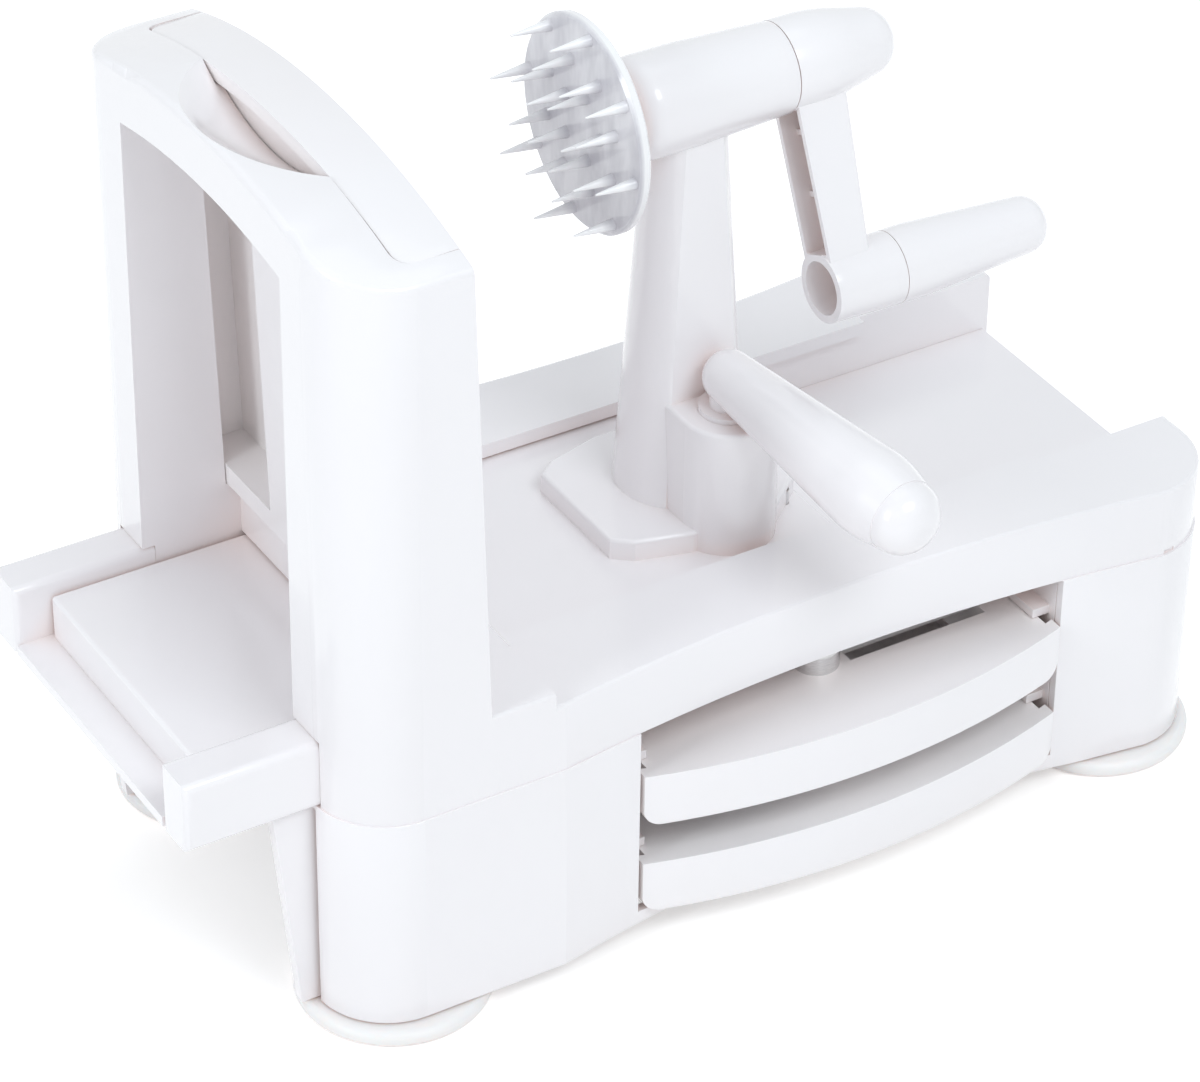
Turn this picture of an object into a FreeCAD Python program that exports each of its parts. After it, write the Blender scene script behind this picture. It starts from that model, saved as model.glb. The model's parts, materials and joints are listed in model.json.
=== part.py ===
import FreeCAD, Part
import math
import os

Vector = FreeCAD.Vector

# Hand-cranked vegetable spiralizer, all sizes in millimetres.
# X runs along the base, from the outlet tray (-X) to the open end of the trough (+X).
# Y runs across it, and the drawer side is -Y. Z is up and the feet stand on Z = 0.
# Everything is drawn about the middle of the body; writeNodes moves the whole
# model so that its origin is the middle of its box on the ground.

# --- blade cassettes ---
cassetteThickness = 13.8
plateHalf = 60.9
plateSkin = 2.6
tongueTop = 4.0
tongueThickness = 3.0
tongueReach = 2.0
stripHalf = 63.3
stripLip = 1.7
stripHeight = cassetteThickness + stripLip
stripWall = 4.0
stripCorner = 4.5
cassetteFit = 0.25
recessLeft = -52.0
recessRight = -16.0
recessStart = 11.0
recessEndWall = 6.0
ringDepth = 29.0
ringOuter = 6.2
ringInner = 5.3
ringStand = 6.5
bladeLength = 42.0
bladeWidth = 12.0
bladeThickness = 0.9
mouthWidth = 5.0
fineToothPitch = 3.0
coarseToothPitch = 6.0
toothHeight = 4.0

# --- base and drawer bay ---
bodyLeftX = -130.0
bodyRightX = 132.0
bodyHalfWidth = 70.5
waistDepth = 7.0
waistHalfWidth = bodyHalfWidth - waistDepth
waistStartX = -70.0
leftCornerRadius = 20.0
rightCornerRadius = 22.0
shellWall = 2.5
baseBottomZ = 5.0
underArchEndX = 92.0
underArchRise = 2.6
openingBottomZ = 10.0
drawerPitch = 27.7
drawerHeadroom = 13.5
lowerDrawerZ = openingBottomZ + stripHeight
upperDrawerZ = lowerDrawerZ + drawerPitch
seamZ = upperDrawerZ + drawerHeadroom
drawerOverhang = 7.0
bayFrontY = -bodyHalfWidth - drawerOverhang
bayCentreX = 17.4
jambGap = 0.9
bayHalf = stripHalf + jambGap
bayEndGap = 0.5
bayBackWall = 2.0
bayBackY = bodyHalfWidth - 14.0
cassetteLength = bayBackY - bayBackWall - bayEndGap - bayFrontY
runnerReach = 5.2
runnerThickness = 2.6

# --- rails and slide ---
seamStep = 0.5
railHeight = 19.9
railTopZ = seamZ + railHeight
channelHalf = 40.4
channelFloor = 2.8
lipReach = 2.8
lipThickness = 4.0
lipEndX = 88.0
ledgeRise = 4.0
ledgeTopZ = railTopZ + ledgeRise
ledgeEndX = -73.0
floorEndX = bodyRightX - 2.0
softEdge = 1.0
notchX = 113.0
notchWidth = 3.4
notchHeight = 1.2
notchDepth = 1.4

# --- outlet tray ---
trayFrontX = -165.6
trayArmWidth = 12.7
trayArmHalf = channelHalf + trayArmWidth
trayArmDrop = 0.3
trayArmTopZ = railTopZ - trayArmDrop
trayArmEndX = -126.0
trayFit = 0.1
trayEdge = 2.0
ribTopReach = 11.0
ribFootReach = 4.5
ribThickness = 3.2
ribInset = 6.2
ribGroove = 1.5
doorwayHalf = 38.0
doorwayHead = 14.0

# --- arch that holds the working cassette ---
crossBarFrontX = -101.3
crossBarRise = 11.0
crossBarTopZ = railTopZ + crossBarRise
crossBarGap = 0.7
cassetteEndGap = 1.2
archTopZ = crossBarTopZ + cassetteEndGap + cassetteLength
archBowRadius = 215.0
archLean = 1.9
archRearTopX = -95.6
archCrownDepth = 15.1
windowTopZ = archTopZ - archCrownDepth
windowBowRadius = 200.0
scoopReach = 17.0
scoopHalf = 33.5
scoopRadius = 62.0
scoopDrop = 1.2

# --- feet ---
footX = 108.3
footY = 50.0
footRadius = 25.3
footRimHeight = 4.4
footHubRadius = 11.6
footStem = 4.9
footStemFit = 0.05
footPadZ = 8.0
footPadThickness = 2.5

# --- carriage ---
sledFrontX = -155.8
sledRearX = 32.0
sledDrop = 4.7
sledTopZ = railTopZ - sledDrop
sledSideGap = 0.8
sledFloorGap = 0.05
sledWall = 2.6
flangeThickness = 6.0
flangeFrontX = -26.0
flangeRearX = 31.0
flangeHalf = 25.4
columnX = 5.0
columnFootRadius = 17.4
columnHeadRadius = 9.8
columnFootFlat = 12.8
columnHeadFlat = 8.6
columnWall = 3.0
spindleDrop = 0.8
spindleZ = archTopZ - ringDepth - spindleDrop
spindleRadius = 6.0
runningFit = 0.05
bushWall = 2.0
bushRadius = spindleRadius + bushWall
bushLength = 9.0
bushFlange = 0.8
bushFlangeRadius = bushRadius + 1.2
barrelFrontX = -13.0
barrelRearX = 30.7
barrelFrontRadius = bushRadius + 5.3
barrelRearRadius = bushRadius + 4.0
bossX = 7.0
bossY = -20.0
bossRadius = 13.0
bossRise = 36.6
bossTopZ = sledTopZ + bossRise

# --- push handle ---
handleLength = 66.5
handleRootRadius = 7.0
handleEndRadius = 11.6
handleCapRadius = 10.0
handleWall = 2.4
handleSwing = 7.0
handleDroop = 5.0
handleRise = 9.5
capStep = 0.25
capHeight = 9.0
pegRadius = 5.0
pegFit = 0.06
pegDepth = 24.0
pegFlangeRadius = 7.8
pegFlange = 1.4
capSpigot = 10.0

# --- crank ---
endGap = 0.3
discFaceX = -25.3
discThickness = 3.0
discRadius = 28.2
collarRadius = bushRadius + 2.4
spikeLength = 11.0
spikeRadius = 1.6
spikeTipRadius = 0.25
hubFrontX = barrelRearX + endGap
hubLength = 33.0
hubRadius = barrelRearRadius
hubTipRadius = 7.4
crankRadius = 57.0
crankRestAngle = 25.0
armWidth = 12.6
armWall = 1.5
armRibs = (18.0, 34.0)
armRibThickness = 1.4
armRibStart = 5.0
armRootDepth = 16.0
armEndDepth = 12.2
armBossOuter = 9.2
armBossBore = 7.1
armBossLength = 20.0
armBossFloor = 4.0
gripLength = 46.5
gripRootRadius = 9.7
gripEndRadius = 7.2
axleRadius = 4.0
axleHead = 5.6

# --- fasteners ---
screwRadius = 1.5
screwHeadRadius = 2.9
screwHeadHeight = 2.0
screwBossRadius = 4.2


def box(x0, x1, y0, y1, z0, z1):
    return Part.makeBox(x1 - x0, y1 - y0, z1 - z0, Vector(x0, y0, z0))


def rod(radius, start, direction, length):
    return Part.makeCylinder(radius, length, Vector(*start), Vector(*direction))


def line(a, b):
    return Part.LineSegment(Vector(*a), Vector(*b)).toShape()


def arc(a, b, c):
    return Part.Arc(Vector(*a), Vector(*b), Vector(*c)).toShape()


def slab(edges, height, axis=(0, 0, 1)):
    face = Part.Face(Part.Wire(edges))
    return face.extrude(Vector(*axis) * height)


def polygonSlab(points, direction):
    face = Part.Face(Part.makePolygon([Vector(*p) for p in points] + [Vector(*points[0])]))
    return face.extrude(Vector(*direction))


def turned(profile, centre, axis):
    # A turned piece: (radius, station) points joined by straight lines, spun about the axis.
    points = [Vector(r, 0, s) for r, s in profile]
    wire = Part.makePolygon(points + [points[0]])
    solid = Part.Face(wire).revolve(Vector(0, 0, 0), Vector(0, 0, 1), 360)
    solid.rotate(Vector(0, 0, 0), *turnTo(axis))
    solid.translate(Vector(*centre))
    return solid


def turnTo(axis):
    rotation = FreeCAD.Rotation(Vector(0, 0, 1), Vector(*axis))
    return rotation.Axis, math.degrees(rotation.Angle)


def roundedOutline(corners):
    # Outline through (radius, station, bend) corners; each bend is a tangent arc of that radius.
    points = [Vector(r, 0, z) for r, z, bend in corners]
    edges = []
    start = points[0]
    for i in range(1, len(points) - 1):
        bend = corners[i][2]
        before = (points[i - 1] - points[i]).normalize()
        after = (points[i + 1] - points[i]).normalize()
        half = before.getAngle(after) / 2
        reach = bend / math.tan(half)
        middle = (before + after).normalize() * (bend / math.sin(half) - bend)
        edges.append(Part.LineSegment(start, points[i] + before * reach).toShape())
        if bend > 0:
            edges.append(Part.Arc(points[i] + before * reach, points[i] + middle,
                                  points[i] + after * reach).toShape())
        start = points[i] + after * reach
    edges.append(Part.LineSegment(start, points[-1]).toShape())
    return edges


def domed(corners, centre, axis):
    # A turned piece with rounded corners; the outline is closed along the axis.
    first = corners[0]
    last = corners[-1]
    edges = roundedOutline(corners)
    if last[0] > 0:
        edges.append(line((last[0], 0, last[1]), (0, 0, last[1])))
    edges.append(line((0, 0, last[1]), (0, 0, first[1])))
    edges.append(line((0, 0, first[1]), (first[0], 0, first[1])))
    solid = Part.Face(Part.Wire(edges)).revolve(Vector(0, 0, 0), Vector(0, 0, 1), 360)
    solid.rotate(Vector(0, 0, 0), *turnTo(axis))
    solid.translate(Vector(*centre))
    return solid


def softened(solid, chosen, radius):
    # Rounds the edges that the test picks.
    return solid.makeFillet(radius, [e for e in solid.Edges if chosen(e)])


def liesAt(edge, z):
    # True for an edge that lies flat at the height z.
    return abs(edge.BoundBox.ZMin - z) < 0.01 and abs(edge.BoundBox.ZMax - z) < 0.01


def runsAlong(edge, axis):
    # True for a straight edge that runs along one axis, "x", "y" or "z".
    bounds = edge.BoundBox
    spans = {"x": bounds.XLength, "y": bounds.YLength, "z": bounds.ZLength}
    length = spans.pop(axis)
    return length > 0.5 and max(spans.values()) < 0.01


# --- the body's plan ---

def planEdges(inset, z):
    # Plan of the body: rounded corners, straight sides by the arch, then a long waist.
    left = bodyLeftX + inset
    right = bodyRightX - inset
    side = bodyHalfWidth - inset
    waist = waistHalfWidth - inset
    cornerL = leftCornerRadius - inset
    cornerR = rightCornerRadius - inset
    k = 1 - math.sqrt(0.5)
    xl = left + cornerL
    xr = right - cornerR
    middle = (waistStartX + xr) / 2
    edges = []
    for s in (1, -1):
        edges.append(arc((left, s * (side - cornerL), z),
                         (left + cornerL * k, s * (side - cornerL * k), z), (xl, s * side, z)))
        edges.append(line((xl, s * side, z), (waistStartX, s * side, z)))
        edges.append(arc((waistStartX, s * side, z), (middle, s * waist, z), (xr, s * side, z)))
        edges.append(arc((xr, s * side, z),
                         (right - cornerR * k, s * (side - cornerR * k), z),
                         (right, s * (side - cornerR), z)))
    edges.append(line((left, cornerL - side, z), (left, side - cornerL, z)))
    edges.append(line((right, cornerR - side, z), (right, side - cornerR, z)))
    return Part.__sortEdges__(edges)


def planSlab(inset, z0, z1):
    return slab(planEdges(inset, z0), z1 - z0)


def easedSlab(inset, z0, z1, ease):
    # The same plan with its top edge eased off in two steps that follow a round.
    step = ease * (1 - math.sqrt(0.5))
    stations = [(inset, z1 - ease), (inset + step, z1 - step), (inset + ease, z1)]
    wires = [Part.Wire(planEdges(edge, z)) for edge, z in stations]
    return planSlab(inset, z0, z1 - ease).fuse(Part.makeLoft(wires, True, True))


# --- lower base ---

def screwSpots():
    return [(x, s * 60.0) for x in (-80.0, 97.0) for s in (1, -1)]


def footSpots():
    return {"foot_tray_far": (-footX, footY), "foot_tray_near": (-footX, -footY),
            "foot_end_far": (footX, footY), "foot_end_near": (footX, -footY)}


def baseShell():
    shell = planSlab(0, baseBottomZ, seamZ)
    return shell.cut(planSlab(shellWall, 0, seamZ - shellWall))


def underArch():
    # Shallow arched cut along the bottom edge of the long sides.
    x0 = waistStartX
    x1 = underArchEndX
    centre = (x0 + x1) / 2
    z = baseBottomZ
    edges = [arc((x0, -90, z), (centre, -90, z + underArchRise), (x1, -90, z)),
             line((x1, -90, z), (x1, -90, z - 2)), line((x1, -90, z - 2), (x0, -90, z - 2)),
             line((x0, -90, z - 2), (x0, -90, z))]
    return slab(edges, 180, (0, 1, 0))


def bayWalls():
    # Two guide walls and a back wall that make the bay for the two stored cassettes.
    z0 = openingBottomZ - 1.0
    z1 = seamZ - shellWall
    parts = []
    for s in (1, -1):
        inner = bayCentreX + s * bayHalf
        outer = inner + s * shellWall
        parts.append(box(min(inner, outer), max(inner, outer), -64.0, bayBackY, z0, z1))
    parts.append(box(bayCentreX - bayHalf, bayCentreX + bayHalf, bayBackY - bayBackWall, bayBackY, z0, z1))
    return parts


def bayRunners():
    parts = []
    for top in (upperDrawerZ, lowerDrawerZ):
        for s in (1, -1):
            wall = bayCentreX + s * (bayHalf + 0.5)
            tip = bayCentreX + s * (bayHalf - runnerReach)
            x0, x1 = min(wall, tip), max(wall, tip)
            above = top + cassetteFit
            below = top - cassetteThickness - cassetteFit
            parts.append(box(x0, x1, -61.5, bayBackY, above, above + runnerThickness))
            parts.append(box(x0, x1, -61.5, bayBackY, below - runnerThickness, below))
    return parts


def footPads():
    parts = []
    inside = planSlab(shellWall / 2, footPadZ, footPadZ + footPadThickness)
    for x, y in footSpots().values():
        pad = box(x - 22, x + 22, y - 20, y + 20, footPadZ, footPadZ + footPadThickness)
        parts.append(pad.common(inside))
    return parts


def trayRibs():
    # Two ribs stand in front of the base's end and carry the tray's arms.
    parts = []
    for s in (1, -1):
        y0 = s * (trayArmHalf - ribInset)
        points = [(bodyLeftX - ribTopReach, y0, seamZ), (bodyLeftX + 5.0, y0, seamZ),
                  (bodyLeftX + 5.0, y0, baseBottomZ), (bodyLeftX - ribFootReach, y0, baseBottomZ)]
        parts.append(polygonSlab(points, (0, s * ribThickness, 0)))
    return parts


def makeLowerBase():
    solid = baseShell()
    opening = box(bayCentreX - bayHalf, bayCentreX + bayHalf, -90, -60, openingBottomZ, seamZ + 1)
    solid = solid.cut(opening)
    solid = solid.fuse(bayWalls() + bayRunners() + footPads() + trayRibs())
    solid = solid.cut(underArch())
    # Slots between the ribs and the corner columns, and the open end below the tray.
    for s in (1, -1):
        y0 = s * (trayArmHalf - ribInset + ribThickness)
        y1 = y0 + s * ribGroove
        slot = box(bodyLeftX - 2, bodyLeftX + 4, min(y0, y1), max(y0, y1), 0, seamZ - 1.5)
        solid = solid.cut(slot)
    doorway = box(bodyLeftX - 2, bodyLeftX + 4, -doorwayHalf, doorwayHalf, 0, seamZ - doorwayHead)
    doorway = softened(doorway, lambda e: runsAlong(e, "x") and e.BoundBox.ZMin > 20, 9.0)
    solid = solid.cut(doorway)
    for x, y in footSpots().values():
        solid = solid.cut(rod(footStem + footStemFit, (x, y, footPadZ - 1), (0, 0, 1), 6))
    for x, y in screwSpots():
        boss = rod(screwBossRadius, (x, y, 30.0), (0, 0, 1), seamZ - shellWall - 29.5)
        solid = solid.fuse(boss)
    for x, y in screwSpots():
        solid = solid.cut(rod(screwRadius + 0.1, (x, y, 28.0), (0, 0, 1), 45))
        solid = solid.cut(rod(screwHeadRadius + 0.3, (x, y, 28.0), (0, 0, 1), 6))
    return solid.removeSplitter()


# --- upper housing: rails and arch in one moulding ---

def railBlock():
    block = easedSlab(seamStep, seamZ, railTopZ, softEdge)
    hollow = planSlab(shellWall, seamZ - 1, railTopZ - shellWall)
    inner = channelHalf + shellWall
    hollow = hollow.cut(box(-200, 200, -inner, inner, 0, 200))
    return block.cut(hollow)


def archAxisShift(z):
    # How far the leaning rear face stands from its place at the top of the arch.
    return math.tan(math.radians(archLean)) * (archTopZ - z)


def leanSlab(t0, t1, half, z0, z1):
    # A block square to the leaning rear face: t is measured from that face towards the tray.
    points = []
    for t, z in ((t0, z0), (t1, z0), (t1, z1), (t0, z1)):
        points.append((archRearTopX - t + archAxisShift(z), -half, z))
    return polygonSlab(points, (0, 2 * half, 0))


def bowSolid(radius):
    # Everything under a bow that shares its centre with the bowed top of the arch.
    return rod(radius, (-200, 0, archTopZ - archBowRadius), (1, 0, 0), 200)


def archBlock():
    block = planSlab(seamStep, seamZ, archTopZ + 5)
    rear = leanSlab(0, 60, 90, seamZ - 2, archTopZ + 8)
    block = block.common(rear)
    block = block.common(bowSolid(archBowRadius))
    crown = archTopZ - archBowRadius
    block = softened(block, lambda e: onBow(e, crown), 2.0)
    return block


def onBow(edge, crown):
    # Edges that lie in the bowed top surface, apart from the one at the rear.
    for vertex in edge.Vertexes:
        reach = math.hypot(vertex.Y, vertex.Z - crown)
        if abs(reach - archBowRadius) > 0.05:
            return False
    return edge.CenterOfMass.x < archRearTopX - 1.0


def postHollows():
    # The posts and the rail ends are hollow from below.
    inner = channelHalf + shellWall
    hollow = planSlab(shellWall, seamZ - 1, windowTopZ - 14)
    hollow = hollow.common(leanSlab(cassetteThickness + 3.0, 60, 90, seamZ - 2, windowTopZ))
    return hollow.cut(box(-200, 200, -inner, inner, 0, 300))


def cassettePocket():
    fit = cassetteFit
    bottom = archTopZ - cassetteLength - 0.6
    pocket = leanSlab(-20, cassetteThickness + fit, plateHalf + fit, bottom, archTopZ + 20)
    groove = leanSlab(tongueTop - fit, tongueTop + tongueThickness + fit,
                      plateHalf + tongueReach + fit, bottom, archTopZ + 20)
    half = stripHalf + fit
    x0 = archRearTopX - stripHeight - fit
    seat = []
    r = stripCorner
    for s in (1, -1):
        y0 = s * (half - r)
        seat.append(rod(r, (x0 + r, y0, archTopZ - 40), (0, 0, 1), 60))
    strip = box(x0 + r, x0 + 40, -half, half, archTopZ - 40, archTopZ + 20)
    strip = strip.fuse(box(x0, x0 + r + 1, r - half, half - r, archTopZ - 40, archTopZ + 20))
    # The strip leans with its cassette, so its front edge sits a little lower than its rear.
    sink = stripHeight * math.sin(math.radians(archLean))
    strip = strip.fuse(seat).cut(bowSolid(archBowRadius - stripWall - 2 * fit - sink))
    return [pocket, groove, strip]


def crossBar():
    # Sill under the cassette, with a rounded front lip, sloping back to the rail tops.
    low = sledTopZ + crossBarGap
    half = channelHalf + 2
    top = crossBarTopZ
    front = crossBarFrontX
    edges = [line((front, -half, low), (front, -half, top - 2.5)),
             arc((front, -half, top - 2.5), (front + 0.73, -half, top - 0.73),
                 (front + 2.5, -half, top)),
             line((front + 2.5, -half, top), (front + 12, -half, top)),
             line((front + 12, -half, top), (ledgeEndX - 8, -half, ledgeTopZ)),
             line((ledgeEndX - 8, -half, ledgeTopZ), (ledgeEndX, -half, ledgeTopZ)),
             line((ledgeEndX, -half, ledgeTopZ), (ledgeEndX + 3, -half, railTopZ)),
             line((ledgeEndX + 3, -half, railTopZ), (ledgeEndX + 3, -half, low)),
             line((ledgeEndX + 3, -half, low), (front, -half, low))]
    return slab(edges, 2 * half, (0, 1, 0))


def ledges():
    # Flat raised ledges behind the posts, level with the side wall.
    parts = []
    for s in (1, -1):
        y0 = s * channelHalf
        y1 = s * (bodyHalfWidth - seamStep)
        block = box(archRearTopX - 6, ledgeEndX, min(y0, y1), max(y0, y1), railTopZ - 2, ledgeTopZ)
        outer = abs(y1) - 1.0
        block = softened(block, lambda e: liesAt(e, ledgeTopZ) and abs(e.CenterOfMass.y) > outer, 0.8)
        parts.append(block)
    return parts


def scoop():
    # Finger scoop in front of the cassette's handle, cut by a ball.
    rim = (scoopHalf ** 2 + scoopReach ** 2) / (2 * scoopReach)
    frontX = archRearTopX - stripHeight - scoopReach
    drop = math.sqrt(scoopRadius ** 2 - rim ** 2)
    centre = Vector(frontX + rim, 0, archTopZ - scoopDrop + drop)
    return Part.makeSphere(scoopRadius, centre)


def housingBosses(drilled):
    parts = []
    for x, y in screwSpots():
        if drilled:
            parts.append(rod(screwRadius, (x, y, seamZ - 1), (0, 0, 1), 12))
        else:
            parts.append(rod(screwBossRadius, (x, y, seamZ), (0, 0, 1), railTopZ - seamZ - 1))
    return parts


def makeUpperHousing():
    solid = railBlock().fuse(archBlock())
    window = box(-200, archRearTopX + 30, -channelHalf, channelHalf, seamZ - 2, windowTopZ + 2)
    crown = (-200, 0, windowTopZ - windowBowRadius)
    window = window.common(rod(windowBowRadius, crown, (1, 0, 0), 200))
    solid = solid.cut(window)
    solid = solid.cut(box(-200, 200, -channelHalf, channelHalf, seamZ - 2, railTopZ + 1))
    solid = solid.fuse([crossBar()] + ledges() + housingBosses(False))
    low = railTopZ - lipThickness
    for s in (1, -1):
        y0 = s * (channelHalf - lipReach)
        y1 = s * (channelHalf + 1)
        solid = solid.fuse(box(ledgeEndX, lipEndX, min(y0, y1), max(y0, y1), low, railTopZ))
    solid = solid.cut(postHollows())
    for cutter in cassettePocket() + [scoop()] + housingBosses(True):
        solid = solid.cut(cutter)
    # The tray's arms enter the front of the posts and stop inside them.
    for s in (1, -1):
        y0 = s * (channelHalf - 1)
        y1 = s * (trayArmHalf + trayFit)
        solid = solid.cut(box(bodyLeftX - 5, trayArmEndX + trayFit, min(y0, y1), max(y0, y1),
                              seamZ - 1, trayArmTopZ + trayFit))
    # Small notch in the seam, where a blade can lift the housing off.
    side = bodyHalfWidth - notchDepth
    solid = solid.cut(box(notchX - notchWidth / 2, notchX + notchWidth / 2, -side - 10, -side,
                          seamZ - 1, seamZ + notchHeight))
    return solid.removeSplitter()


# --- outlet tray and floor of the slide ---

def makeSlideChannel():
    top = seamZ + channelFloor
    half = channelHalf - trayFit
    solid = box(trayFrontX, floorEndX, -half, half, seamZ, top)
    for s in (1, -1):
        y0 = s * half
        y1 = s * trayArmHalf
        arm = box(trayFrontX, trayArmEndX, min(y0, y1), max(y0, y1), seamZ, trayArmTopZ)
        front = trayFrontX + 0.1
        arm = softened(arm, lambda e: e.BoundBox.XMin < front and not runsAlong(e, "y"), trayEdge)
        solid = solid.fuse(arm)
    return solid.removeSplitter()


# --- feet ---

def makeFoot(x, y):
    # Suction cup: a skirt with a rounded rim under a hub, and a stem through the base's pad.
    rim = footRimHeight
    cup = domed([(footRadius - 4.0, 0, 0), (footRadius, 0, 1.8), (footRadius, rim, 1.9),
                 (footHubRadius + 1.0, rim, 0), (footHubRadius, footPadZ, 0)], (x, y, 0), (0, 0, 1))
    hollow = turned([(0, -0.1), (footRadius - 3.6, -0.1), (footRadius - 8.0, rim - 2.2), (0, rim - 1.6)],
                    (x, y, 0), (0, 0, 1))
    cup = cup.cut(hollow)
    stem = rod(footStem, (x, y, footPadZ - 0.5), (0, 0, 1), footPadThickness + 4.5)
    cap = rod(footStem + 1.6, (x, y, footPadZ + footPadThickness + 0.1), (0, 0, 1), 2.5)
    return cup.fuse([stem, cap]).removeSplitter()


def makeHousingScrews():
    screws = []
    for x, y in screwSpots():
        seat = 34.0
        head = rod(screwHeadRadius, (x, y, seat - screwHeadHeight), (0, 0, 1), screwHeadHeight)
        shank = rod(screwRadius, (x, y, seat), (0, 0, 1), seamZ + 9 - seat)
        drive = rod(1.2, (x, y, seat - screwHeadHeight), (0, 0, 1), 1.0)
        screws.append(head.fuse(shank).cut(drive).removeSplitter())
    return Part.makeCompound(screws)


# --- blade cassettes, drawn as a drawer: front crest at the origin, top face at Z = 0 ---

def bowEdge(half, offset, z):
    drop = archBowRadius - math.sqrt(archBowRadius ** 2 - half ** 2)
    return arc((-half, drop + offset, z), (0, offset, z), (half, drop + offset, z))


def bowPlate(half, back, z0, z1):
    drop = archBowRadius - math.sqrt(archBowRadius ** 2 - half ** 2)
    edges = [bowEdge(half, 0, z0), line((half, drop, z0), (half, back, z0)),
             line((half, back, z0), (-half, back, z0)), line((-half, back, z0), (-half, drop, z0))]
    return slab(edges, z1 - z0)


def bowStrip():
    drop = archBowRadius - math.sqrt(archBowRadius ** 2 - stripHalf ** 2)
    z0 = -stripHeight
    edges = [bowEdge(stripHalf, 0, z0),
             line((stripHalf, drop, z0), (stripHalf, drop + stripWall, z0)),
             bowEdge(stripHalf, stripWall, z0),
             line((-stripHalf, drop + stripWall, z0), (-stripHalf, drop, z0))]
    strip = slab(Part.__sortEdges__(edges), stripHeight)
    strip = softened(strip, lambda e: runsAlong(e, "y") and e.BoundBox.ZMax < z0 + 0.1, stripCorner)
    return strip


def cassetteFrame():
    thick = cassetteThickness
    solid = bowPlate(plateHalf, cassetteLength, -thick, 0)
    tongue = bowPlate(plateHalf + tongueReach, cassetteLength, -tongueTop - tongueThickness, -tongueTop)
    tongue = tongue.cut(box(-90, 90, -5, 26, -30, 5))
    solid = solid.fuse([bowStrip(), tongue])
    # Deep recess under one half; the other half is a flat panel.
    solid = solid.cut(box(recessLeft, recessRight, recessStart, cassetteLength - recessEndWall,
                          -thick - 1, -plateSkin))
    # Core hole, and the mouth that lets the strands out behind the blade.
    solid = solid.cut(rod(ringOuter - 0.9, (0, ringDepth, -thick - 1), (0, 0, 1), thick + 2))
    solid = solid.cut(rod(ringOuter, (0, ringDepth, -8), (0, 0, 1), 10))
    x0 = ringOuter + 2.0
    y0 = ringDepth - mouthWidth + 1.0
    solid = solid.cut(box(x0, x0 + bladeLength, y0, ringDepth + 2.0, -thick - 1, 1))
    solid = solid.cut(box(x0, x0 + bladeLength, y0, ringDepth + 16.0, -thick - 1, -plateSkin))
    for x in bladeScrewSpots():
        solid = solid.cut(rod(0.9, (x, ringDepth + bladeWidth - 3.0, -plateSkin - 1), (0, 0, 1), 8))
    return solid


def bladeScrewSpots():
    return [ringOuter + 6.0, ringOuter + bladeLength - 2.0]


def cassetteBlade(pitch):
    # Flat blade whose front edge stands proud over the mouth; a comb of teeth if it has a pitch.
    x0 = ringOuter + 1.4
    x1 = x0 + bladeLength + 1.2
    y0 = ringDepth - 1.0
    y1 = ringDepth + bladeWidth
    t = bladeThickness
    rise = 1.1
    points = [(x0, y0, rise + t), (x0, y0 + 2.2, rise + t), (x0, y0 + 4.5, t), (x0, y1, t),
              (x0, y1, 0), (x0, y0 + 4.3, 0), (x0, y0 + 2.0, rise)]
    solid = polygonSlab(points, (x1 - x0, 0, 0))
    if pitch:
        width = pitch * 0.38
        count = int((bladeLength - 6) / pitch)
        for i in range(count):
            x = x0 + 3.0 + i * pitch
            y = ringDepth - mouthWidth - 1.0
            tooth = [(x, y, 0), (x, y + 2.6, 0), (x, y + 1.2, toothHeight), (x, y, toothHeight)]
            solid = solid.fuse(polygonSlab(tooth, (width, 0, 0)))
        lip = ringDepth - mouthWidth
        solid = solid.fuse([box(x0 + 2, x1 - 2, lip - 2.5, lip + 0.9, 0, t),
                            box(x0, x0 + 2.2, lip - 2.5, y0 + 4.6, 0, t),
                            box(x1 - 2.2, x1, lip - 2.5, y0 + 4.6, 0, t)])
    for x in bladeScrewSpots():
        solid = solid.cut(rod(1.0, (x, ringDepth + bladeWidth - 3.0, -1), (0, 0, 1), 4))
    return solid.removeSplitter()


def cassetteRing():
    # Coring ring: a thin steel tube, sharpened at its free edge.
    outline = [(ringInner, -8.0), (ringOuter, -8.0), (ringOuter, ringStand - 1.2),
               (ringInner + 0.15, ringStand), (ringInner, ringStand)]
    return turned(outline, (0, ringDepth, 0), (0, 0, 1))


def cassetteScrews():
    screws = []
    for x in bladeScrewSpots():
        y = ringDepth + bladeWidth - 3.0
        head = rod(1.9, (x, y, bladeThickness), (0, 0, 1), 0.9)
        shank = rod(0.9, (x, y, -plateSkin), (0, 0, 1), plateSkin + bladeThickness)
        slot = box(x - 2, x + 2, y - 0.25, y + 0.25, bladeThickness + 0.5, bladeThickness + 2)
        screws.append(head.fuse(shank).cut(slot).removeSplitter())
    return Part.makeCompound(screws)


def toDrawer(shape, z):
    moved = shape.copy()
    moved.translate(Vector(bayCentreX, bayFrontY, z))
    return moved


def toArch(shape):
    # Stands the drawer up: its front crest goes to the top, its top face to the rear.
    turn = FreeCAD.Matrix(0, 0, 1, 0, -1, 0, 0, 0, 0, -1, 0, 0, 0, 0, 0, 1)
    moved = shape.copy()
    moved.transformShape(turn, True)
    moved.rotate(Vector(0, 0, 0), Vector(0, 1, 0), -archLean)
    moved.translate(Vector(archRearTopX, 0, archTopZ))
    return moved


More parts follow.
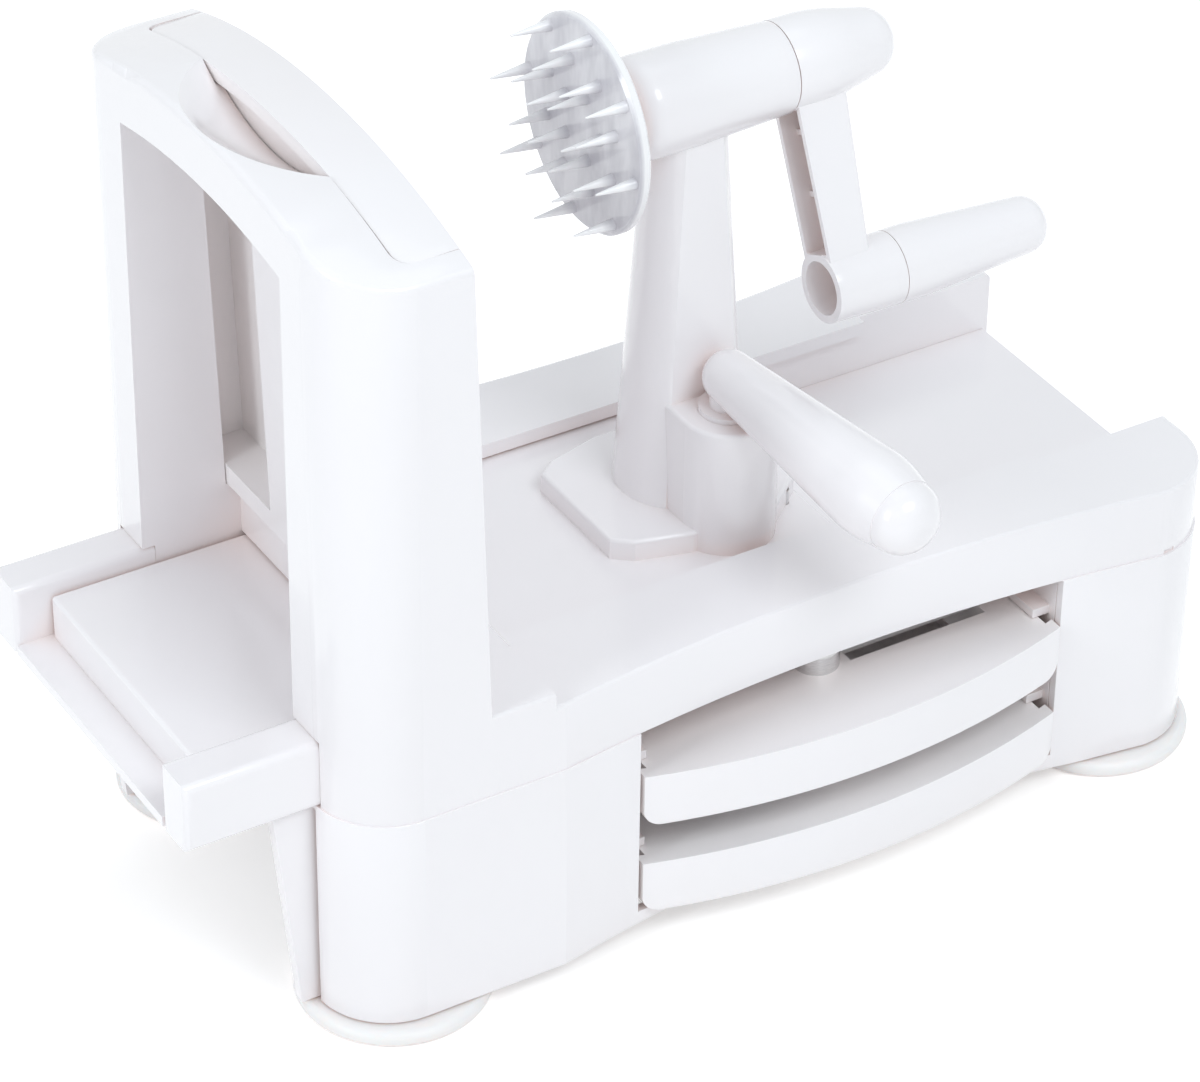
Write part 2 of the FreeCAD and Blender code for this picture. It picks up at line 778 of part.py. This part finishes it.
def cassetteNodes():
    nodes = {}
    frame = cassetteFrame()
    ring = cassetteRing()
    screws = cassetteScrews()
    kinds = {"arch": fineToothPitch, "upper": 0, "lower": coarseToothPitch}
    for name, pitch in kinds.items():
        pieces = {"frame": frame, "blade": cassetteBlade(pitch), "ring": ring, "screws": screws}
        for piece, shape in pieces.items():
            if name == "arch":
                placed = toArch(shape)
            else:
                placed = toDrawer(shape, upperDrawerZ if name == "upper" else lowerDrawerZ)
            nodes[name + "_cassette_" + piece] = placed
    return nodes


# --- carriage ---

def makeSled():
    half = channelHalf - sledSideGap
    z0 = seamZ + channelFloor + sledFloorGap
    solid = box(sledFrontX, sledRearX, -half, half, z0, sledTopZ)
    solid = softened(solid, lambda e: liesAt(e, sledTopZ) or runsAlong(e, "z"), softEdge)
    # Open underneath, with cross ribs.
    bays = 5
    pitch = (sledRearX - sledFrontX - sledWall) / bays
    for i in range(bays):
        x0 = sledFrontX + sledWall + i * pitch
        solid = solid.cut(box(x0, x0 + pitch - sledWall, sledWall - half, half - sledWall,
                              z0 - 1, sledTopZ - sledWall))
    for x, y in carriageScrewSpots():
        solid = solid.fuse(rod(screwBossRadius, (x, y, z0 + 3), (0, 0, 1), sledTopZ - z0 - 4))
    for x, y in carriageScrewSpots():
        solid = solid.cut(rod(screwRadius + 0.1, (x, y, z0 - 1), (0, 0, 1), 30))
        solid = solid.cut(rod(screwHeadRadius + 0.3, (x, y, z0 - 1), (0, 0, 1), 6))
    return solid.removeSplitter()


def carriageScrewSpots():
    return [(x, s * 18.0) for x in (-17.0, 26.0) for s in (1, -1)]


def flange():
    # Foot of the column: flat front, sides drawn in towards the corners.
    z = sledTopZ
    front = flangeFrontX
    rear = flangeRearX
    half = flangeHalf
    points = [(front, -half * 0.68, z), (front, half * 0.68, z), (front + 5, half * 0.84, z),
              (front + 20, half, z), (rear - 12, half, z), (rear, half * 0.6, z),
              (rear, -half * 0.6, z), (rear - 12, -half, z), (front + 20, -half, z),
              (front + 5, -half * 0.84, z)]
    solid = polygonSlab(points, (0, 0, flangeThickness))
    return softened(solid, lambda e: liesAt(e, z + flangeThickness), softEdge)


def columnSolid(inset, z0):
    # A tapering round column, cut flat on the two sides that face across the base.
    top = spindleZ - inset * 3
    cone = Part.makeCone(columnFootRadius - inset, columnHeadRadius - inset, top - z0,
                         Vector(columnX, 0, z0))
    foot = columnFootFlat - inset
    head = columnHeadFlat - inset
    x0 = columnX - columnFootRadius - 1
    points = [(x0, -foot, z0), (x0, foot, z0), (x0, head, top), (x0, -head, top)]
    return cone.common(polygonSlab(points, (2 * columnFootRadius + 2, 0, 0)))


def sideBoss():
    # Upright socket beside the column, round at its outer end.
    z = sledTopZ
    x0 = bossX - bossRadius
    x1 = bossX + bossRadius
    edges = [line((x0, 0, z), (x0, bossY, z)),
             arc((x0, bossY, z), (bossX, bossY - bossRadius, z), (x1, bossY, z)),
             line((x1, bossY, z), (x1, 0, z)), line((x1, 0, z), (x0, 0, z))]
    solid = slab(edges, bossTopZ - z)
    return softened(solid, lambda e: liesAt(e, bossTopZ) and e.CenterOfMass.y < -2, softEdge)


def barrel():
    length = barrelRearX - barrelFrontX
    front = barrelFrontRadius
    rear = barrelRearRadius
    outline = [(rear, 0, 0), (front, length * 0.62, 60.0), (front, length, 4.5), (bushRadius, length, 0)]
    return domed(outline, (barrelRearX, 0, spindleZ), (-1, 0, 0))


def makePedestal():
    solid = flange().fuse([columnSolid(0, sledTopZ + 2), sideBoss(), barrel()])
    hollow = columnSolid(columnWall, sledTopZ - 1)
    solid = solid.cut(hollow.cut(box(-50, 50, -50, 50, spindleZ - barrelFrontRadius - 8, 300)))
    length = barrelRearX - barrelFrontX
    solid = solid.cut(rod(spindleRadius + 1.0, (barrelFrontX - 5, 0, spindleZ), (1, 0, 0), length + 10))
    for x, direction in ((barrelFrontX, 1), (barrelRearX, -1)):
        mouth = (x - direction, 0, spindleZ)
        solid = solid.cut(rod(bushRadius, mouth, (direction, 0, 0), bushLength + 1))
        solid = solid.cut(rod(bushFlangeRadius, mouth, (direction, 0, 0), bushFlange + 1))
    socket = (bossX, bossY, bossTopZ - pegDepth - 1)
    solid = solid.cut(rod(pegRadius + pegFit, socket, (0, 0, 1), pegDepth + 5))
    for x, y in carriageScrewSpots():
        solid = solid.cut(rod(screwRadius, (x, y, sledTopZ - 1), (0, 0, 1), flangeThickness - 0.5))
    return solid.removeSplitter()


def makePedestalScrews():
    z0 = seamZ + channelFloor + sledFloorGap + 5.0
    screws = []
    for x, y in carriageScrewSpots():
        head = rod(screwHeadRadius, (x, y, z0 - screwHeadHeight), (0, 0, 1), screwHeadHeight)
        shank = rod(screwRadius, (x, y, z0), (0, 0, 1), sledTopZ + 4.0 - z0)
        screws.append(head.fuse(shank).removeSplitter())
    return Part.makeCompound(screws)


def makeBush(x, direction):
    # Flanged plain bearing pressed into the end of the barrel until its flange is level.
    bore = spindleRadius + runningFit
    outline = [(bore, 0), (bushFlangeRadius, 0), (bushFlangeRadius, bushFlange),
               (bushRadius, bushFlange), (bushRadius, bushLength), (bore, bushLength)]
    return turned(outline, (x, 0, spindleZ), (direction, 0, 0))


# --- push handle ---

def handleAxis():
    # The bar leans a little towards the open end and droops towards its cap.
    swing = math.radians(handleSwing)
    droop = math.radians(handleDroop)
    return (math.sin(swing) * math.cos(droop), -math.cos(swing) * math.cos(droop), -math.sin(droop))


def handlePoint(distance):
    direction = handleAxis()
    z = bossTopZ + handleRise
    return (bossX + distance * direction[0], bossY + distance * direction[1], z + distance * direction[2])


def makePushHandle():
    root = handleRootRadius
    end = handleEndRadius
    cap = handleCapRadius
    l = handleLength
    bar = domed([(root, 0, 0), (end + 0.2, l * 0.86, 30.0), (cap, l, 0)], handlePoint(0), handleAxis())
    bar = bar.fuse(Part.makeSphere(root, Vector(*handlePoint(0))))
    inward = [-c for c in handleAxis()]
    bar = bar.cut(rod(cap - handleWall, handlePoint(l + 1), inward, capSpigot + 3))
    ring = rod(pegFlangeRadius, (bossX, bossY, bossTopZ + runningFit), (0, 0, 1), pegFlange)
    neck = rod(pegRadius, (bossX, bossY, bossTopZ - pegDepth), (0, 0, 1), pegDepth + handleRise)
    return bar.fuse([ring, neck]).removeSplitter()


def makeHandleCap():
    r = handleCapRadius - capStep
    dome = domed([(r, 0, 0), (r, capHeight, capHeight - 0.5), (0, capHeight, 0)],
                 handlePoint(handleLength), handleAxis())
    inward = [-c for c in handleAxis()]
    spigot = rod(handleCapRadius - handleWall - runningFit, handlePoint(handleLength), inward, capSpigot)
    return dome.fuse(spigot).removeSplitter()


# --- crank ---

def spikeSpots():
    # Three rings of spikes: how many, how far out, and the first one's angle.
    rings = ((5, 9.0, 34.0), (8, 16.7, 28.0), (8, 25.4, 8.0))
    spots = []
    for count, radius, start in rings:
        for i in range(count):
            angle = math.radians(start + i * 360.0 / count)
            spots.append((radius * math.cos(angle), radius * math.sin(angle)))
    return spots


def makeSpikedDisc():
    back = discFaceX + discThickness
    r = discRadius
    face = turned([(0, 0), (r - 0.8, 0), (r, 0.8), (r, discThickness - 0.6), (r - 0.6, discThickness),
                   (0, discThickness)], (discFaceX, 0, spindleZ), (1, 0, 0))
    span = barrelFrontX - endGap - back
    collar = domed([(collarRadius, 0, 0), (collarRadius, span, 2.0), (bushRadius, span, 0)],
                   (back, 0, spindleZ), (1, 0, 0))
    solid = face.fuse(collar)
    for y, z in spikeSpots():
        spike = Part.makeCone(spikeRadius, spikeTipRadius, spikeLength,
                              Vector(discFaceX, y, spindleZ + z), Vector(-1, 0, 0))
        solid = solid.fuse(spike)
    solid = solid.cut(rod(spindleRadius, (back - 1.0, 0, spindleZ), (1, 0, 0), span + 5))
    return solid.removeSplitter()


def makeSpindle():
    x0 = discFaceX + discThickness - 1.0
    x1 = hubFrontX + 14.0
    return rod(spindleRadius, (x0, 0, spindleZ), (1, 0, 0), x1 - x0)


def armAxis():
    # Unit direction from the spindle to the grip, in the plane of the crank.
    a = math.radians(crankRestAngle)
    return (0, -math.sin(a), -math.cos(a))


def armPoint(distance, x):
    direction = armAxis()
    return (x, distance * direction[1], spindleZ + distance * direction[2])


def armBeam(inset, root, end, front):
    # Tapering beam from the hub to the grip boss, drawn hanging down and then swung.
    half = armWidth / 2 - inset
    x0 = hubFrontX + front
    x1 = hubFrontX + armRootDepth - inset
    x2 = hubFrontX + armEndDepth - inset
    points = [(x0, -half, spindleZ - root), (x1, -half, spindleZ - root),
              (x2, -half, spindleZ - end), (x0, -half, spindleZ - end)]
    solid = polygonSlab(points, (0, 2 * half, 0))
    if inset == 0:
        solid = softened(solid, lambda e: e.BoundBox.XMin > hubFrontX + 8 and e.BoundBox.ZLength > 20, 1.4)
    solid.rotate(Vector(0, 0, spindleZ), Vector(1, 0, 0), -crankRestAngle)
    return solid


def makeCrankArm():
    hub = domed([(hubRadius, 0, 0), (hubRadius, hubLength * 0.38, 45.0), (hubTipRadius, hubLength, 7.5),
                 (0, hubLength, 0)], (hubFrontX, 0, spindleZ), (1, 0, 0))
    arm = armBeam(0, 0, crankRadius, 0.6)
    boss = turned([(0, 0), (armBossOuter, 0), (gripRootRadius, armBossLength), (0, armBossLength)],
                  armPoint(crankRadius, hubFrontX), (1, 0, 0))
    solid = arm.fuse([hub, boss])
    trough = armBeam(armWall, hubRadius - 1.0, crankRadius - armBossOuter + 0.5, -1.0)
    for at in armRibs:
        low = spindleZ - at - armRibThickness / 2
        rib = box(hubFrontX + armRibStart, hubFrontX + 30, -20, 20, low, low + armRibThickness)
        rib.rotate(Vector(0, 0, spindleZ), Vector(1, 0, 0), -crankRestAngle)
        trough = trough.cut(rib)
    solid = solid.cut(trough)
    solid = solid.cut(rod(armBossBore, armPoint(crankRadius, hubFrontX - 1), (1, 0, 0),
                          armBossLength - armBossFloor + 1))
    solid = solid.cut(rod(axleRadius, armPoint(crankRadius, hubFrontX), (1, 0, 0), armBossLength + 1))
    solid = solid.cut(rod(spindleRadius, (hubFrontX - 1, 0, spindleZ), (1, 0, 0), 15))
    return solid.removeSplitter()


def makeGripAxle():
    # Headed pin: fixed in the arm's boss, and the grip turns on its long end.
    x0 = hubFrontX + armBossLength - armBossFloor - 3.0
    end = armBossFloor + 3.0 + gripLength - 10.0
    outline = [(0, 0), (axleHead, 0), (axleHead, 3.0), (axleRadius, 3.0), (axleRadius, end - 1),
               (axleRadius - 1, end), (0, end)]
    return turned(outline, armPoint(crankRadius, x0), (1, 0, 0))


def makeCrankGrip():
    x0 = hubFrontX + armBossLength + runningFit * 4
    r = gripRootRadius
    e = gripEndRadius
    l = gripLength
    body = domed([(r, 0, 0), (r + 0.1, l * 0.15, 40.0), (e, l, 5.8), (0, l, 0)],
                 armPoint(crankRadius, x0), (1, 0, 0))
    bore = rod(axleRadius + runningFit, armPoint(crankRadius, x0 - 1), (1, 0, 0), l - 8.5)
    return body.cut(bore)


# --- all nodes ---

def makeNodes():
    nodes = {
        "lower_base": makeLowerBase(),
        "upper_housing": makeUpperHousing(),
        "slide_channel": makeSlideChannel(),
        "housing_screws": makeHousingScrews(),
        "sled": makeSled(),
        "pedestal": makePedestal(),
        "pedestal_screws": makePedestalScrews(),
        "front_bush": makeBush(barrelFrontX, 1),
        "rear_bush": makeBush(barrelRearX, -1),
        "push_handle": makePushHandle(),
        "push_handle_cap": makeHandleCap(),
        "spiked_disc": makeSpikedDisc(),
        "spindle": makeSpindle(),
        "crank_arm": makeCrankArm(),
        "grip_axle": makeGripAxle(),
        "crank_grip": makeCrankGrip(),
    }
    for name, spot in footSpots().items():
        nodes[name] = makeFoot(*spot)
    nodes.update(cassetteNodes())
    return nodes


def writeNodes():
    os.makedirs("parts", exist_ok=True)
    nodes = makeNodes()
    whole = FreeCAD.BoundBox()
    for shape in nodes.values():
        whole.add(shape.optimalBoundingBox(True, False))
    shift = Vector(-(whole.XMin + whole.XMax) / 2, -(whole.YMin + whole.YMax) / 2, 0)
    for name, shape in nodes.items():
        shape.translate(shift)
        kinds = len(shape.Solids)
        print(name, "solids", kinds, "valid", shape.isValid(), "volume", round(shape.Volume))
        shape.exportStep("parts/" + name + ".step")
    print("moved by", round(shift.x, 4), round(shift.y, 4))
    print("box", round(whole.XLength, 2), round(whole.YLength, 2), round(whole.ZLength, 2))


writeNodes()
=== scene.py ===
import json
import math
import bpy
from mathutils import Matrix, Vector


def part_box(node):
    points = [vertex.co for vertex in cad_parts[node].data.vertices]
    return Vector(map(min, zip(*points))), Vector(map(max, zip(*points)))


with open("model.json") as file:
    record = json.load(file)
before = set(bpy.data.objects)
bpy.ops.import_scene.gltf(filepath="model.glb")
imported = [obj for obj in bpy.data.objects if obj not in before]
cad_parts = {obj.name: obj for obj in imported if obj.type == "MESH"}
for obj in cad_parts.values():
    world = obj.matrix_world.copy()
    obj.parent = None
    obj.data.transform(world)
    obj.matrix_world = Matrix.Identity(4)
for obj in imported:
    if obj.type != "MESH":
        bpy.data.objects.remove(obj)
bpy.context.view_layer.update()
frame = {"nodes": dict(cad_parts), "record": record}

nodes = frame["nodes"]
print("frame loaded with", len(nodes), "nodes")

mostOfNoise = (0.3, 0.7)       # nearly all values of a noise lie between these two
coverSamples = 6


def newMaterial(name):
    material = bpy.data.materials.new(name)
    material.use_nodes = True
    tree = material.node_tree
    tree.nodes.clear()
    output = tree.nodes.new("ShaderNodeOutputMaterial")
    shader = tree.nodes.new("ShaderNodeBsdfPrincipled")
    tree.links.new(shader.outputs["BSDF"], output.inputs["Surface"])
    return material, tree, shader


def addNode(tree, kind, settings=None, inputs=None):
    node = tree.nodes.new(kind)
    for key, value in (settings or {}).items():
        setattr(node, key, value)
    for key, value in (inputs or {}).items():
        node.inputs[key].default_value = value
    return node


def objectPoint(tree):
    return addNode(tree, "ShaderNodeTexCoord").outputs["Object"]


def stretched(tree, point, stretch):
    mapping = addNode(tree, "ShaderNodeMapping", None, {"Scale": stretch})
    tree.links.new(point, mapping.inputs["Vector"])
    return mapping.outputs["Vector"]


def noiseField(tree, point, noise):
    scale, detail, roughness = noise
    field = addNode(tree, "ShaderNodeTexNoise", None,
                    {"Scale": scale, "Detail": detail, "Roughness": roughness})
    tree.links.new(point, field.inputs["Vector"])
    return field.outputs["Fac"]


def spread(tree, value, low, high, taken=mostOfNoise):
    # Spreads the taken part of a value's range over low to high.
    remap = addNode(tree, "ShaderNodeMapRange", None,
                    {"From Min": taken[0], "From Max": taken[1], "To Min": low, "To Max": high})
    tree.links.new(value, remap.inputs["Value"])
    return remap.outputs["Result"]


def larger(tree, first, second):
    node = addNode(tree, "ShaderNodeMath", {"operation": "MAXIMUM"})
    tree.links.new(first, node.inputs[0])
    tree.links.new(second, node.inputs[1])
    return node.outputs["Value"]


def twoTone(tree, factor, first, second):
    ramp = addNode(tree, "ShaderNodeValToRGB")
    ramp.color_ramp.elements[0].color = (*first, 1.0)
    ramp.color_ramp.elements[1].color = (*second, 1.0)
    tree.links.new(factor, ramp.inputs["Fac"])
    return ramp.outputs["Color"]


def blended(tree, factor, first, second):
    # The Mix node keeps its colour sockets at these places.
    colourA, colourB, colourOut = 6, 7, 2
    mix = addNode(tree, "ShaderNodeMix", {"data_type": "RGBA"})
    tree.links.new(factor, mix.inputs["Factor"])
    tree.links.new(first, mix.inputs[colourA])
    mix.inputs[colourB].default_value = (*second, 1.0)
    return mix.outputs[colourOut]


def opennessOf(tree, reach):
    # 1 on an open face, towards 0 deep in a slot or corner; it masks the colour painted into recesses as
    # shade.
    cover = addNode(tree, "ShaderNodeAmbientOcclusion", {"samples": coverSamples}, {"Distance": reach})
    return cover.outputs["AO"]


def bumpChain(tree, shader, layers):
    # Each layer is a height with its (strength, depth in metres); they stack into one normal.
    normal = None
    for height, (strength, depth) in layers:
        bump = addNode(tree, "ShaderNodeBump", None, {"Strength": strength, "Distance": depth})
        tree.links.new(height, bump.inputs["Height"])
        if normal is not None:
            tree.links.new(normal, bump.inputs["Normal"])
        normal = bump.outputs["Normal"]
    tree.links.new(normal, shader.inputs["Normal"])


# Glossy white moulding. Each noise is (scale, detail, roughness) and each bump (strength, depth).
gloss = {
    "colour": (0.925, 0.885, 0.90), "colourFlow": (0.94, 0.905, 0.92), "flow": (9.0, 4.0, 0.55),
    # The recess colour is painted in where occlusion is high: a warm painted shade in slots and corners.
    "paintedRecessColour": (0.97, 0.84, 0.81), "paintedRecessReach": 0.03,
    "paintedRecessFull": 0.12, "paintedRecessNone": 0.5,         # openness where the painted recess shade is whole, and where it ends
    "roughLow": 0.16, "roughHigh": 0.27, "scuffs": (160.0, 6.0, 0.7),
    "ior": 1.5, "coat": 0.5, "coatRough": 0.06,
    "glow": 0.0, "glowReach": (1.0, 0.8, 0.7), "glowDepth": 0.002,
    "waves": (14.0, 2.0, 0.4), "waveBump": (0.035, 0.002),
    "grain": (900.0, 3.0, 0.6), "grainBump": (0.05, 0.0002),
}


def glossCoat(tree, shader, point, look):
    # Hairline scuffs in the roughness, under a thin clear coat.
    scuffs = noiseField(tree, point, look["scuffs"])
    tree.links.new(spread(tree, scuffs, look["roughLow"], look["roughHigh"]), shader.inputs["Roughness"])
    shader.inputs["IOR"].default_value = look["ior"]
    shader.inputs["Coat Weight"].default_value = look["coat"]
    shader.inputs["Coat Roughness"].default_value = look["coatRough"]


def mouldedPlastic(name, look):
    # Faint flow marks in the colour, the look's recess colour painted in by occlusion as shade and bounced
    # light, slight waviness and fine grain.
    material, tree, shader = newMaterial(name)
    point = objectPoint(tree)
    flow = noiseField(tree, point, look["flow"])
    colour = twoTone(tree, spread(tree, flow, 0.0, 1.0), look["colour"], look["colourFlow"])
    openness = opennessOf(tree, look["paintedRecessReach"])
    paintedRecessMask = spread(tree, openness, 1.0, 0.0, (look["paintedRecessFull"], look["paintedRecessNone"]))
    tree.links.new(blended(tree, paintedRecessMask, colour, look["paintedRecessColour"]), shader.inputs["Base Color"])
    glossCoat(tree, shader, point, look)
    if look["glow"]:
        shader.inputs["Subsurface Weight"].default_value = look["glow"]
        shader.inputs["Subsurface Radius"].default_value = look["glowReach"]
        shader.inputs["Subsurface Scale"].default_value = look["glowDepth"]
    waves = noiseField(tree, point, look["waves"])
    grain = noiseField(tree, point, look["grain"])
    bumpChain(tree, shader, [(waves, look["waveBump"]), (grain, look["grainBump"])])
    return material


finishes = {
    "housing_plastic": mouldedPlastic("housingGloss", gloss),
    "carriage_plastic": mouldedPlastic("carriageGloss", {**gloss, "flow": (14.0, 4.0, 0.55)}),
    "cassette_plastic": mouldedPlastic("cassetteGloss", {
        **gloss, "colour": (0.92, 0.875, 0.885), "flow": (12.0, 4.0, 0.55),
        # A paler recess colour here: painted light, standing for light bounced through the cassette plastic.
        "paintedRecessColour": (0.985, 0.94, 0.93), "paintedRecessNone": 0.85,
    }),
    "handle_plastic": mouldedPlastic("handleGloss", {**gloss, "roughLow": 0.18}),
    "suction_rubber": mouldedPlastic("suctionVinyl", {
        **gloss, "colour": (0.90, 0.87, 0.86), "colourFlow": (0.92, 0.89, 0.88),
        "glow": 0.5, "coat": 0.0, "roughLow": 0.35, "roughHigh": 0.5,
    }),
    "bush_plastic": mouldedPlastic("bushNylon", {
        **gloss, "colour": (0.70, 0.70, 0.70), "colourFlow": (0.74, 0.74, 0.74),
        "coat": 0.0, "roughLow": 0.4, "roughHigh": 0.5,
    }),
}

spikeLength = 0.0105       # from the tips back to the face of the disc
discLook = {
    # The face colours are partly the moulding's grey tone and partly painted shade on the face.
    **gloss, "shadedFaceDark": (0.60, 0.58, 0.62), "shadedFaceLight": (0.77, 0.75, 0.78),
    "streakStretch": (1.0, 1.0, 0.35), "streaks": (130.0, 3.0, 0.6), "streaksTaken": (0.35, 0.65),
    "streakBump": (0.05, 0.001),
    "spikeColour": (0.93, 0.91, 0.92), "spikeRoot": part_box("spiked_disc")[0][0] + spikeLength,
    "fade": 0.003, "lip": 0.0008,
}


def discPlastic(name, look):
    # Cloudy moulding with soft streaks; the grey-violet of the face is partly the moulding's own tone and
    # partly painted shade, and the spikes pale away from it.
    material, tree, shader = newMaterial(name)
    point = objectPoint(tree)
    streaks = noiseField(tree, stretched(tree, point, look["streakStretch"]), look["streaks"])
    clouds = spread(tree, streaks, 0.0, 1.0, look["streaksTaken"])
    shadedFace = twoTone(tree, clouds, look["shadedFaceDark"], look["shadedFaceLight"])
    place = addNode(tree, "ShaderNodeSeparateXYZ")
    tree.links.new(point, place.inputs["Vector"])
    root, lip = look["spikeRoot"], look["lip"]
    ahead = spread(tree, place.outputs["X"], 0.0, 1.0, (root, root - look["fade"]))
    behind = spread(tree, place.outputs["X"], 0.0, 1.0, (root + lip, root + 2.0 * lip))
    colour = blended(tree, larger(tree, ahead, behind), shadedFace, look["spikeColour"])
    tree.links.new(colour, shader.inputs["Base Color"])
    glossCoat(tree, shader, point, look)
    grain = noiseField(tree, point, look["grain"])
    bumpChain(tree, shader, [(streaks, look["streakBump"]), (grain, look["grainBump"])])
    return material


finishes["spike_plastic"] = discPlastic("spikeCloudyShaded", discLook)

brushed = {
    "stretch": (1.0, 1.0, 12.0), "lines": (500.0, 4.0, 0.7), "lineBump": (0.15, 0.0002),
    "dark": (0.60, 0.60, 0.61), "light": (0.82, 0.82, 0.82), "roughLow": 0.28, "roughHigh": 0.4,
}


def steel(name, look):
    # Fine drawn lines in the colour, the roughness and the bump.
    material, tree, shader = newMaterial(name)
    lines = noiseField(tree, stretched(tree, objectPoint(tree), look["stretch"]), look["lines"])
    colour = twoTone(tree, spread(tree, lines, 0.0, 1.0), look["dark"], look["light"])
    tree.links.new(colour, shader.inputs["Base Color"])
    tree.links.new(spread(tree, lines, look["roughLow"], look["roughHigh"]), shader.inputs["Roughness"])
    shader.inputs["Metallic"].default_value = 1.0
    bumpChain(tree, shader, [(lines, look["lineBump"])])
    return material


finishes["blade_steel"] = steel("bladeSteel", brushed)
finishes["spindle_steel"] = steel("spindleSteel", {**brushed, "stretch": (14.0, 1.0, 1.0)})
finishes["fastener_steel"] = steel("fastenerSteel", {**brushed, "stretch": (1.0, 1.0, 1.0), "roughLow": 0.3})

slotOf = {part["node"]: part["material_slot"] for part in frame["record"]["subparts"]}
for name, item in nodes.items():
    item.data.materials.clear()
    item.data.materials.append(finishes[slotOf[name]])
print("finishes given to every node")


edgeLook = {"weldGap": 0.00001, "segments": 3, "sharpFrom": 40}        # sharpFrom in degrees
edgeSizes = {
    "lower_base": 0.0008, "upper_housing": 0.0009, "slide_channel": 0.0010,
    "sled": 0.0006, "pedestal": 0.0008, "crank_arm": 0.0005,
    "arch_cassette_frame": 0.0007, "upper_cassette_frame": 0.0010, "lower_cassette_frame": 0.0010,
}


def softenEdges(item, size, look):
    weld = item.modifiers.new("weld", "WELD")
    weld.merge_threshold = look["weldGap"]
    bevel = item.modifiers.new("moulded edge", "BEVEL")
    bevel.width = size
    bevel.segments = look["segments"]
    bevel.limit_method = "ANGLE"
    bevel.angle_limit = math.radians(look["sharpFrom"])


for name, size in edgeSizes.items():
    softenEdges(nodes[name], size, edgeLook)
print("edges softened on", len(edgeSizes), "nodes")


def seenDirectly(tree):
    # 1 for rays from the camera and for those that a mirror or glass sends on, 0 for light on the object.
    path = tree.nodes.new("ShaderNodeLightPath")
    either = larger(tree, path.outputs["Is Camera Ray"], path.outputs["Is Glossy Ray"])
    return larger(tree, either, path.outputs["Is Transmission Ray"])


tableLook = {"size": 6.0, "drop": 0.0002, "colour": (0.93, 0.91, 0.90), "glow": 0.42, "rough": 0.6}


def makeTable(look):
    bpy.ops.mesh.primitive_plane_add(size=look["size"], location=(0.0, 0.0, -look["drop"]))
    table = bpy.context.object
    table.name = "table"
    material, tree, shader = newMaterial("tableWhite")
    shader.inputs["Base Color"].default_value = (*look["colour"], 1.0)
    shader.inputs["Roughness"].default_value = look["rough"]
    shader.inputs["Emission Color"].default_value = (1.0, 1.0, 1.0, 1.0)
    seen = addNode(tree, "ShaderNodeMath", {"operation": "MULTIPLY"}, {1: look["glow"]})
    tree.links.new(seenDirectly(tree), seen.inputs[0])
    tree.links.new(seen.outputs["Value"], shader.inputs["Emission Strength"])
    table.data.materials.append(material)


makeTable(tableLook)

skyLook = {"ambient": (0.90, 0.965, 1.0), "strength": 0.66, "seen": (1.0, 1.0, 1.0), "seenStrength": 1.0}


def background(tree, colour, strength):
    node = addNode(tree, "ShaderNodeBackground", None, {"Color": (*colour, 1.0), "Strength": strength})
    return node.outputs["Background"]


def makeSky(look):
    # Soft light all round, which looks white where it is seen directly.
    world = bpy.data.worlds.new("studio")
    bpy.context.scene.world = world
    world.use_nodes = True
    tree = world.node_tree
    tree.nodes.clear()
    output = tree.nodes.new("ShaderNodeOutputWorld")
    mix = tree.nodes.new("ShaderNodeMixShader")
    tree.links.new(seenDirectly(tree), mix.inputs["Fac"])
    tree.links.new(background(tree, look["ambient"], look["strength"]), mix.inputs[1])
    tree.links.new(background(tree, look["seen"], look["seenStrength"]), mix.inputs[2])
    tree.links.new(mix.outputs["Shader"], output.inputs["Surface"])


makeSky(skyLook)

lampColour = (0.91, 0.97, 1.0)
lamps = {
    "nearBox": {"place": (0.1, -1.1, 1.45), "aim": (0.0, 0.0, 0.08), "size": (0.8, 0.6), "watts": 8.6},
    "sideBox": {"place": (-1.5, -0.3, 0.8), "aim": (0.0, 0.0, 0.08), "size": (0.35, 0.6), "watts": 5.8},
    "topBox": {"place": (0.1, 0.3, 1.6), "aim": (0.0, 0.0, 0.1), "size": (1.2, 0.8), "watts": 1.4},
}


def makeLamp(name, look):
    light = bpy.data.lights.new(name, "AREA")
    light.shape = "RECTANGLE"
    light.size, light.size_y = look["size"]
    light.energy = look["watts"]
    light.color = lampColour
    item = bpy.data.objects.new(name, light)
    bpy.context.scene.collection.objects.link(item)
    item.location = look["place"]
    toAim = Vector(look["aim"]) - Vector(look["place"])
    item.rotation_euler = toAim.to_track_quat("-Z", "Y").to_euler()


for name, look in lamps.items():
    makeLamp(name, look)
print("table, sky and", len(lamps), "lamps in place")


# turn, tilt and roll in degrees, sensor and lens in millimetres
cameraLook = {
    "eye": (-0.54666, -0.87908, 0.80647), "turn": -31.48, "tilt": 35.087, "roll": 0.74,
    "sensor": 36.0, "lens": 147.76,
}


def makeCamera(look):
    turn, tilt, roll = (math.radians(look[key]) for key in ("turn", "tilt", "roll"))
    back = Vector((math.sin(turn) * math.cos(tilt), -math.cos(turn) * math.cos(tilt), math.sin(tilt)))
    data = bpy.data.cameras.new("studioCamera")
    data.sensor_width = look["sensor"]
    data.lens = look["lens"]
    item = bpy.data.objects.new("studioCamera", data)
    bpy.context.scene.collection.objects.link(item)
    item.location = look["eye"]
    item.rotation_mode = "QUATERNION"
    rolled = Matrix.Rotation(roll, 3, "Z").to_quaternion()
    item.rotation_quaternion = (-back).to_track_quat("-Z", "Y") @ rolled
    bpy.context.scene.camera = item


makeCamera(cameraLook)
bpy.context.scene.view_settings.view_transform = "Standard"
print("camera in place")
